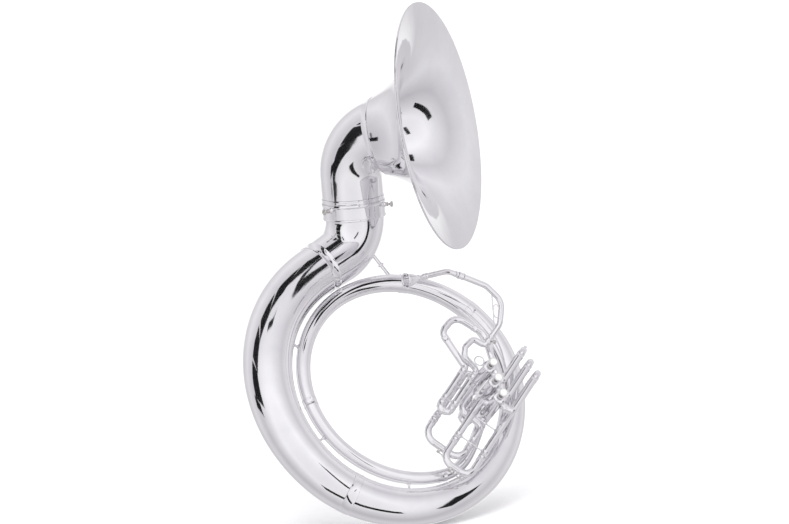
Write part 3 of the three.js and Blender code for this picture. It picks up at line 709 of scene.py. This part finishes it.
# ---- Valves ------------------------------------------------------------------------------------
def make_valve(number, p, q):
    """One valve: casing, two knurled caps, felt, piston and finger button; its spring is the CAD's own."""
    axis = line((p, q, 0), (p, q, 100), (1, 0, 0))
    casing = Piece().turn(
        axis,
        (
            (-18, 15.9), (-18, 17.2), (-15.4, 17.2), (-15, 17), (-6, 17), (-5.4, 17.35), (-4.2, 17.35),
            (-3.6, 17), (113, 17), (113.6, 17.5), (119.4, 17.5), (120, 17), (120, 15.9),
        ),
        64, closed=True,
    )
    if number == 1:
        casing.loop((p - 31, q, 116), (1, 0, 0), (0, 1, 0), 13, 2)
        casing.turn(line((p - 19, q, 116), (p - 16.4, q, 116)), ((0, 2.2), (1.4, 3.2), (2.6, 5)), 24)
    casing.make(f"valve_casing_{number}_tube", "horn", SILVER, f"valve_casing_{number}")

    bottom = Piece().turn(
        axis,
        (
            (-27, 0.6), (-27, 9), (-26.6, 12.6), (-25.6, 15.6), (-25, 16.8), (-24.6, 17.1), (-19.4, 17.1),
            (-18.6, 16.4), (-18.6, 15.2),
        ),
        64,
    )
    bottom.turn(axis, ((-24.6, 16.4), (-24.4, 17.6), (-19.6, 17.6), (-19.4, 16.4)), 96, True, (96, 0.5))
    bottom.make(f"bottom_cap_{number}_knurled", "horn", SILVER, f"bottom_cap_{number}")

    top = Piece().turn(
        axis,
        (
            (120.6, 4.9), (120.6, 17), (121.4, 17.4), (126, 17.4), (126.7, 16.4), (127.6, 14.6),
            (128.2, 12), (128.3, 7), (128.8, 6.6), (128.8, 4.9),
        ),
        64, closed=True,
    )
    top.turn(axis, ((121, 16.6), (121.2, 18), (125.6, 18), (125.8, 16.6)), 96, True, (96, 0.5))
    top.make(f"top_cap_{number}_knurled", "horn", SILVER, f"top_cap_{number}")
    washer = ((128.8, 4.4), (128.8, 8.6), (129.2, 9), (129.7, 8.7), (129.7, 4.4))
    felt = Piece().turn(axis, washer, 40, closed=True)
    felt.make(f"valve_felt_{number}", "horn", FELT)

    body = f"valve_{number}"
    piston = Piece().turn(
        axis,
        (
            (22, 12), (22, 15.1), (23, 15.3), (111, 15.3), (112, 14.8), (112, 4), (113, 3.2), (144, 3.2),
            (144.4, 4), (145.2, 4),
        ),
        48,
    )
    piston.make(f"piston_{number}_turned", body, NICKEL, f"piston_{number}", slot="nickel_silver")
    cup = Piece().turn(
        axis,
        (
            (145.4, 3.6), (145.6, 4.4), (147, 4.2), (148.2, 5), (149.4, 9.4), (150, 10.8), (151.2, 11.6),
            (152.4, 11.6), (153.2, 11.2), (153.4, 10.5), (153.2, 9.7), (152.4, 9.6), (152.4, 3.6),
        ),
        56, closed=True,
    )
    cup.make(f"finger_button_{number}_cup", body, SILVER)
    dome = ((152.5, 9.4), (153.3, 9.5), (153.7, 8.8), (153.9, 6), (154, 3), (154, 0.4))
    inlay = Piece().turn(axis, dome, 48)
    inlay.make(f"finger_button_{number}_inlay", body, PEARL, f"finger_button_{number}", slot="pearl")
    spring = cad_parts[f"valve_spring_{number}"]
    spring.data.materials.clear()
    spring.data.materials.append(SPRING)


# ---- Valve tubing --------------------------------------------------------------------------------
def sleeved(piece, path, *marks, radius=TUBE, length=14):
    """A tube with a soldered sleeve at each mark."""
    piece.tube(path, radius, 40)
    for mark in marks:
        piece.sleeve(path, mark, length, radius, 40)
    return piece


def make_tuning_legs():
    piece = Piece()
    for p in TUNING_LEGS:
        leg = line((p, TUNING_FOOT, TUNING_H), (p, 80, TUNING_H))
        sleeved(piece, leg, 10, leg.length - 9, length=18)
    for q in (-20, 30):
        piece.stay((TUNING_LEGS[0] + 9.2, q, TUNING_H), (TUNING_LEGS[1] - 9.2, q, TUNING_H), 2, 3.4)
    piece.make("tuning_slide_outer_legs", "horn", SILVER, "tuning_slide_legs")


def make_slide(name, body, legs, h, top, shoulder, bottom, corner, spout=None):
    """A bow of full size on two inner legs that run inside the outer ones."""
    left, right = legs
    path = bent([(left, top, h), (left, bottom, h, corner), (right, bottom, h, corner), (right, top, h)])
    inside = top - shoulder
    bow = path.length - 2 * inside
    count = max(8, math.ceil(bow / 4))
    profile = [(0, INNER_LEG), (inside, INNER_LEG)]
    profile += [(inside + bow * i / count, TUBE) for i in range(count + 1)]
    profile += [(path.length - inside, INNER_LEG), (path.length, INNER_LEG)]
    piece = Piece().turn(path, profile, 40)
    for mark in (inside + 8, path.length - inside - 8):
        piece.sleeve(path, mark, 14, TUBE, 40)
    if spout is not None:
        add_spout(piece, spout, bottom, h)
    piece.make(f"{name}_bow", body, SILVER, name)


def add_spout(piece, p, q, h):
    """The water key's spout and the saddle with two ears that carries its hinge."""
    away = line((p, q, h), (p, q - 1, h), (0, 0, 1))
    piece.turn(away, ((9, 4.6), (9.8, 4.2), (10.6, 3.2), (13.2, 3.1), (13.6, 2.8)), 28)
    for side in (-4.6, 4.6):
        low, high = h + side - 0.8, h + side + 0.8
        ear = line((p + KEY_HINGE, q - 13.1, low), (p + KEY_HINGE, q - 13.1, high), (0, 1, 0))
        piece.turn(ear, ((0, 3.4), (0.3, 3.8), (1.3, 3.8), (1.6, 3.4)), 28, flat=(0.66, 1.5))
    pin = line((p + KEY_HINGE, q - KEY_LEVEL, h - 6.4), (p + KEY_HINGE, q - KEY_LEVEL, h + 6.4), (0, 1, 0))
    heads = ((0, 1), (0.2, 1.5), (1, 1.5), (1, 0.9), (11.8, 0.9), (11.8, 1.5), (12.6, 1.5), (12.8, 1))
    piece.turn(pin, heads, 20)


def make_water_key(number, p, q, h):
    """A lever with a corked cup at one end and a finger plate at the other."""
    away = line((p, q, h), (p, q - 1, h), (0, 0, 1))
    body = f"key_{number}"
    key = Piece()
    key.turn(away, ((14.4, 3.4), (14.4, 4.5), (16.8, 4.5), (17.6, 3.6), (18, 1.6)), 32)
    arm = line((p + 2, q - KEY_LEVEL, h), (p + 34, q - KEY_LEVEL, h), (0, 1, 0))
    swells = (
        (0, 1.2), (1, 1.7), (10, 1.7), (12, 2.5), (16, 2.5), (18, 1.7), (28, 1.5), (31, 2.2), (32, 1.4),
    )
    key.turn(arm, swells, 20, flat=(1.25, 0.7))
    plate = line((p + 37, q - KEY_LEVEL + 1, h), (p + 37, q - KEY_LEVEL - 1, h), (0, 0, 1))
    key.turn(plate, ((0, 3.4), (0.2, 4.6), (0.9, 5), (1.5, 4.7), (1.8, 4), (1.4, 2), (1.2, 0.4)), 32)
    key.make(f"water_key_{number}_lever", body, NICKEL, f"water_key_{number}", slot="nickel_silver")
    cork = Piece().turn(away, ((13.7, 3.2), (13.8, 3.9), (14.4, 4), (14.4, 3.2)), 28)
    cork.make(f"water_key_{number}_cork", body, CORK, slot="nickel_silver")


def make_leadpipe():
    path = bent([
        (118, 187, 104), (118, 168, 98.7, 13), (82, 163, 102, 15), (76, 128, 102, 15), (88, 104, 99, 15),
        (137, 104, 79, 11), (137, 80.4, TUNING_H),
    ])
    piece = sleeved(Piece(), path, path.length - 5, radius=LEADPIPE, length=10)
    receiver = (
        (0, 9), (0, 10.6), (0.6, 11.2), (2, 11.2), (2.6, 10.6), (8, 10.6), (9, 10), (11, 9.4), (12, 8.4),
    )
    piece.turn(path, receiver, 40)
    piece.make("leadpipe_tube", "horn", SILVER, "leadpipe")


def make_feed_bow():
    p, q = VALVES[0]
    path = bent([
        (107, 80.4, TUNING_H), (107, 91, TUNING_H, 10), (72, 110, 73, 30), (4, 142, 72, 26),
        (8, 208, 72, 34), (100, 214, 72, 30), (158, 160, 72, 20), (p, q + CASING, 72),
    ])
    marks = [path.nearest(point) for point in ((24, 133, 72), (70, 212, 72))]
    piece = sleeved(Piece(), path, 5, *marks, path.length - 7)
    piece.make("valve_feed_bow_tube", "horn", SILVER, "valve_feed_bow")


def make_crooks():
    """From each valve's side, out round a bow and back to the next valve or slide."""
    one, two, three = VALVES
    routes = {
        "crook_1": [
            (one[0] + CASING, one[1], UPPER_H), (209, 109, UPPER_H, 13), (209, 236, UPPER_H, 16.4),
            (209, 236, LOWER_H, 16.4), (209, 137, LOWER_H, 20), (191, 113, LOWER_H, 20),
            (191, 79 + CASING, LOWER_H),
        ],
        "crook_2": [
            (two[0] + CASING, two[1], UPPER_H), (242, 79, UPPER_H, 13), (242, 218, UPPER_H, 16.4),
            (242, 218, LOWER_H, 16.4), (242, 107, LOWER_H, 20), (224, 83, LOWER_H, 20),
            (224, 49 + CASING, LOWER_H),
        ],
        "crook_3": [
            (three[0] + CASING, three[1], UPPER_H), (274, 49, UPPER_H, 13), (274, 201, UPPER_H, 16.4),
            (274, 201, LOWER_H, 16.4), (274, 120.4, LOWER_H),
        ],
    }
    for name, corners in routes.items():
        path = bent(corners)
        p, bow = corners[2][0], corners[2][1]
        marks = [path.nearest((p, bow - 28, h)) for h in (UPPER_H, LOWER_H)]
        piece = sleeved(Piece(), path, 6, *marks, path.length - 7)
        if name == "crook_1":
            add_pull_knob(piece, (p, bow, (UPPER_H + LOWER_H) / 2))
        piece.make(f"{name}_tube", "horn", SILVER, name)


def add_pull_knob(piece, top):
    stem = line(Vector(top) + Vector((0, -2, 0)), Vector(top) + Vector((0, 10, 0)))
    knob = ((9.4, 5), (11, 4), (12, 2.4), (14.6, 2.2), (16, 3.8), (17.6, 4.4), (19, 3.8), (19.8, 1.6))
    piece.turn(stem, knob, 28)


def make_third_slide():
    left, right = THIRD_LEGS
    p, q = VALVES[2]
    legs = Piece()
    left_leg = bent([(p - CASING, q, LOWER_H), (left, q, LOWER_H, 14), (left, THIRD_FOOT, LOWER_H)])
    right_leg = line((right, 120, LOWER_H), (right, THIRD_FOOT, LOWER_H))
    sleeved(legs, left_leg, 6, left_leg.length - 9, length=18)
    sleeved(legs, right_leg, 8, right_leg.length - 9, length=18)
    for across in (-5, -80):
        legs.stay((left + 9.2, across, LOWER_H), (right - 9.2, across, LOWER_H), 1.9, 4.4)
    legs.make("third_slide_outer_legs", "horn", SILVER, "third_slide_legs")
    make_slide(
        "third_slide", "slide_3", THIRD_LEGS, LOWER_H, -15, THIRD_FOOT - LEG_GAP, THIRD_BOW, 30,
        spout=222,
    )
    make_water_key(3, 222, THIRD_BOW, LOWER_H)


def make_first_slide():
    left, right = FIRST_LEGS
    p, q = VALVES[0]
    h = FIRST_H
    out = bent([(p - CASING, q, h), (left, q, h, 14), (left, FIRST_FOOT, h)])
    piece = sleeved(Piece(), out, 6, out.length - 9, length=18)
    piece.make("first_slide_left_tube", "horn", SILVER, "first_slide_left_leg")
    home = bent([(right, FIRST_FOOT, h), (right, 0, h, 18), (p, 0, h + 5, 18), (p, q - CASING, h + 5)])
    piece = sleeved(Piece(), home, 9, home.length - 7, length=18)
    piece.make("first_slide_right_tube", "horn", SILVER, "first_slide_right_leg")
    make_slide(
        "first_slide", "slide_1", FIRST_LEGS, h, -22, FIRST_FOOT - LEG_GAP, FIRST_BOW, 34, spout=172,
    )
    make_water_key(1, 172, FIRST_BOW, h)


def make_second_slide():
    piece = Piece()
    for p in SECOND_LEGS:
        leg = line((p, SECOND_FOOT, SECOND_H), (p, 61.4, SECOND_H))
        sleeved(piece, leg, 9, leg.length - 7, length=14)
    piece.stay((SECOND_LEGS[0] + 9.2, 30, SECOND_H), (SECOND_LEGS[1] - 9.2, 30, SECOND_H), 1.9, 2.6)
    piece.make("second_slide_outer_legs", "horn", SILVER, "second_slide_legs")
    make_slide("second_slide", "slide_2", SECOND_LEGS, SECOND_H, 54, SECOND_FOOT - LEG_GAP, -7, 12)


# ---- Neck, bit and mouthpiece ----------------------------------------------------------------------
def make_neck():
    """The neck with its wire brace, the bit that turns on its end, and the receiver's clamp screw."""
    path = bent(
        [
            (118, 187.4, 104), (118, 238, 118.1, 40), (88, 289, 137, 40), (30, 290, 152, 44),
            (-30, 266, 163, 60), (-47, 258.5, 166),
        ],
        up=(0, 0, 1), step=3,
    )
    piece = sleeved(Piece(), path, 6, radius=NECK, length=12)
    collar = (
        (-18, 8.2), (-17, 9.6), (-16, 10.2), (-14.6, 10.2), (-14, 9.4), (-3, 9.4), (-2.4, 10.2),
        (-0.8, 10.2), (0, 9.4),
    )
    piece.turn(path, [(path.length + d, r) for d, r in collar], 40)
    low, high = Vector((117.5, 215, 111.4)), Vector((50, 289.7, 147))
    chord = (high - low).normalized()
    piece.tube(line(low + chord * 9, high - chord * 7), 1.8, 16)
    outward = Vector((1, 0.5, 0))
    outward = (outward - chord * chord.dot(outward)).normalized()
    centre = low.lerp(high, 0.5) + outward * 8.5
    piece.loop(centre, outward, chord, 8, 1.5, stretch=2.2)
    piece.make("neck_pipe_tube", "neck", SILVER, "neck_pipe")

    bit_path = bent([(-47.4, 258.3, 166.1), (-76, 245.8, 171.1, 50), (-121, 181.5, 178)], step=3)
    bit = sleeved(Piece(), bit_path, 5, bit_path.length - 7, radius=BIT, length=10)
    bit.make("neck_bit_tube", "bit", SILVER, "neck_bit")

    screw = Piece().turn(
        line((118, 183, 103.8), (119, 183, 104.8), (0, 1, 0)),
        (
            (11.5, 2.2), (16.6, 2.2), (17.2, 3.4), (18.2, 5.6), (19, 6), (21.4, 6), (22.4, 5.4),
            (23.4, 3.6), (24, 0.8),
        ),
        30, knurl=(30, 0.3),
    )
    screw.make("neck_screw_knob", "neck_clamp", NICKEL, "neck_screw", slot="nickel_silver")


def smooth(points, steps=5):
    """Rounds a closed outline by running a curve through its points."""
    count = len(points)
    made = []
    for i in range(count):
        a, b, c, d = (Vector(points[(i + k) % count]) for k in (-1, 0, 1, 2))
        for k in range(steps):
            t = k / steps
            square = (2 * a - 5 * b + 4 * c - d) * t * t
            cube = (3 * b - a - 3 * c + d) * t**3
            made.append(0.5 * (2 * b + (c - a) * t + square + cube))
    return [tuple(point) for point in made]


def make_mouthpiece():
    axis = line((-151.7, 137.6, 182.7), (-121, 181.5, 178), (0, 0, 1))
    outline = (
        (1.6, 16), (0, 18.4), (1, 20.8), (3.4, 21.5), (7, 19.2), (14, 17.6), (27, 13), (36, 9), (41, 7.2),
        (50, 5.9), (65.6, 5.6), (65.6, 4.6), (34, 3.9), (26, 8), (14, 14), (6, 15.6),
    )
    cup = Piece().turn(axis, smooth(outline), 72, closed=True)
    cup.turn(axis, ((38, 7.6), (38.6, 8.8), (39.6, 9.2), (40.6, 8.6), (41.2, 6.8)), 48)
    cup.make("mouthpiece_cup", "cup", SILVER, "mouthpiece", sharp=60)


# ---- Studio ------------------------------------------------------------------------------------------
def studio_card(name, centre, towards, width, height, material, level=(1, 0, 0), seen=False):
    """A flat card facing a point, its width along level. Unless seen, only the polished metal sees it."""
    mesh = bpy.data.meshes.new(name)
    half_w, half_h = width / 2, height / 2
    corners = [(-half_w, -half_h, 0), (half_w, -half_h, 0), (half_w, half_h, 0), (-half_w, half_h, 0)]
    mesh.from_pydata(corners, [], [(0, 1, 2, 3)])
    mesh.materials.append(material)
    card = bpy.data.objects.new(name, mesh)
    bpy.context.scene.collection.objects.link(card)
    facing = (Vector(towards) - Vector(centre)).normalized()
    across = Vector(level)
    across = (across - facing * across.dot(facing)).normalized()
    turn = Matrix((across, facing.cross(across), facing)).transposed().to_4x4()
    card.matrix_world = Matrix.Translation(centre) @ turn
    card.visible_camera = seen
    card.visible_shadow = seen
    card.visible_diffuse = seen


def painted_floor():
    """Matt white paint on board: even, with the faint mottle of a roller."""
    material, tree = blank("matt_white_painted_board")
    place = add(tree, "ShaderNodeTexCoord").outputs["Object"]
    mottle = add(tree, "ShaderNodeTexNoise", {"Vector": place, "Scale": 1 / 0.02, "Detail": 2})
    colour = add(
        tree, "ShaderNodeValToRGB", {"Fac": mottle.outputs["Fac"]},
        stops=((0.3, "#fafafa"), (0.7, "#fdfdfd")),
    )
    shader = add(tree, "ShaderNodeBsdfPrincipled", {"Base Color": colour.outputs[0], "Roughness": 0.9})
    add(tree, "ShaderNodeOutputMaterial", {"Surface": shader.outputs[0]})
    return material


def black_flag():
    """Black velvet on a frame, which draws the dark lines along the tubes."""
    material, tree = blank("black_velvet_flag")
    shader = add(tree, "ShaderNodeBsdfPrincipled", {"Base Color": srgb("#101012"), "Roughness": 1.0})
    add(tree, "ShaderNodeOutputMaterial", {"Surface": shader.outputs[0]})
    return material


def soft_light(name, centre, towards, width, height, power):
    data = bpy.data.lights.new(name, "AREA")
    data.shape = "RECTANGLE"
    data.size, data.size_y = width, height
    data.energy = power
    light = bpy.data.objects.new(name, data)
    bpy.context.scene.collection.objects.link(light)
    light.visible_glossy = False
    light.location = centre
    light.rotation_euler = (Vector(towards) - Vector(centre)).to_track_quat("-Z", "Y").to_euler()


# the camera's three directions, and the point that it aims at
VIEWER = Vector((0.2965, -0.9355, 0.19)).normalized()
UPWARD = Vector((0.0226, 0.2056, 0.978)).normalized()
RIGHTWARD = Vector((0.9547, 0.2857, -0.0815)).normalized()
AIM = Vector(COIL_CENTRE) * MM - RIGHTWARD * 0.0342 + UPWARD * 0.313
CAMERA_DISTANCE, CAMERA_LENS = 10, 173.5
FLOOR_SIZE, FLOOR_GAP = 60, 0.004


def beside(right, up, front):
    """A place so many metres right of, above and in front of the horn's middle, as the camera sees it."""
    return AIM + RIGHTWARD * right + UPWARD * up + VIEWER * front


def make_tent():
    """A white cove behind the horn and a pale grey tent round it, which the plate mirrors."""
    world = bpy.data.worlds.new("white_cove")
    bpy.context.scene.world = world
    world.use_nodes = True
    tree = world.node_tree
    tree.nodes.clear()
    way = add(tree, "ShaderNodeTexCoord").outputs["Generated"]
    facing = add(tree, "ShaderNodeVectorMath", {0: way, 1: VIEWER}, operation="DOT_PRODUCT")
    share = add(
        tree, "ShaderNodeMapRange",
        {"Value": facing.outputs["Value"], "From Min": -1, "From Max": 1},
    )
    front = add(
        tree, "ShaderNodeValToRGB", {"Fac": share.outputs[0]},
        stops=(
            (0.03, "#f4f4f5"), (0.08, "#cfcdd0"), (0.3, "#dedde0"), (0.55, "#c6c4c8"), (0.75, "#dcdbde"),
            (0.88, "#f0eff1"), (1.0, "#e6e5e8"),
        ),
    )
    lift = add(tree, "ShaderNodeVectorMath", {0: way, 1: (0, 0, 1)}, operation="DOT_PRODUCT")
    height = add(
        tree, "ShaderNodeMapRange",
        {"Value": lift.outputs["Value"], "From Min": -0.9, "From Max": 0.6, "To Min": 0.96, "To Max": 1.2},
    )
    background = add(
        tree, "ShaderNodeBackground", {"Color": front.outputs[0], "Strength": height.outputs[0]}
    )
    add(tree, "ShaderNodeOutputWorld", {"Surface": background.outputs[0]})


def make_floor():
    """The floor just under the horn. The plate mirrors the tent instead of it."""
    place = (0, 0, CAD_BOX[0][2] - FLOOR_GAP)
    studio_card("studio_floor", place, (0, 0, 9), FLOOR_SIZE, FLOOR_SIZE, painted_floor(), seen=True)
    bpy.data.objects["studio_floor"].visible_glossy = False


def make_flags():
    """Black flags whose reflections draw the dark lines along the tubes."""
    flag = black_flag()
    crook = beside(-0.1, 0.42, 0)
    arch = ((-1.3, 0.05), (-1.25, 0.62), (-0.95, 1.15), (-0.45, 1.55), (0.15, 1.75))
    for number, (right, up) in enumerate(arch, 1):
        along = RIGHTWARD * (up - 0.42) - UPWARD * (right + 0.1)
        studio_card(f"flag_arch_{number}", beside(right, up, 0.5), crook, 0.6, 0.5, flag, along)
    studio_card("flag_left", beside(-2.4, -0.3, 0.5), beside(0, -0.2, 0), 0.7, 0.32, flag, VIEWER)
    studio_card("flag_inner", beside(-0.25, 2.2, 1.5), beside(0, -0.2, 0), 0.8, 0.2, flag, RIGHTWARD)
    studio_card("flag_low", beside(0.1, -2.0, 2.0), beside(0, -0.6, 0), 2.6, 0.42, flag, RIGHTWARD)
    studio_card("flag_narrow", beside(0.75, 0.35, 2.3), beside(0, 0.2, 0), 0.2, 0.8, flag, RIGHTWARD)
    studio_card("flag_right", beside(2.0, -0.5, 1.2), beside(0, -0.3, 0), 0.42, 1.5, flag, VIEWER)


def make_lights():
    """Two soft boxes and a broad overhead silk, which light the floor and leave no spot on the plate."""
    soft_light("key_softbox", beside(-1.2, 2.0, 2.6), AIM, 1.8, 1.8, 30)
    soft_light("fill_softbox", beside(2.4, 1.0, 2.1), AIM, 1.8, 1.8, 20)
    overhead = bpy.data.lights.new("overhead_silk", "SUN")
    overhead.energy = 1.2
    overhead.angle = math.radians(60)
    silk = bpy.data.objects.new("overhead_silk", overhead)
    silk.visible_glossy = False
    bpy.context.scene.collection.objects.link(silk)


def make_camera():
    """A long lens from far off, so that the coil and the bell keep their true shapes."""
    data = bpy.data.cameras.new("camera")
    data.sensor_width = 36
    data.lens = CAMERA_LENS
    data.clip_end = 100
    camera = bpy.data.objects.new("camera", data)
    bpy.context.scene.collection.objects.link(camera)
    turn = Matrix((RIGHTWARD, UPWARD, VIEWER)).transposed().to_4x4()
    camera.matrix_world = Matrix.Translation(AIM + VIEWER * CAMERA_DISTANCE) @ turn
    bpy.context.scene.camera = camera
    bpy.context.scene.view_settings.view_transform = "Standard"


make_body()
make_upright()
make_collar()
make_bell()
make_struts()
for valve_number, (valve_p, valve_q) in enumerate(VALVES, 1):
    make_valve(valve_number, valve_p, valve_q)
make_tuning_legs()
make_slide("main_tuning_slide", "tuning_slide", TUNING_LEGS, TUNING_H, 70, TUNING_FOOT - LEG_GAP, -57, 15)
make_leadpipe()
make_feed_bow()
make_crooks()
make_third_slide()
make_first_slide()
make_second_slide()
make_neck()
make_mouthpiece()
make_floor()
make_flags()
make_lights()
make_tent()
make_camera()
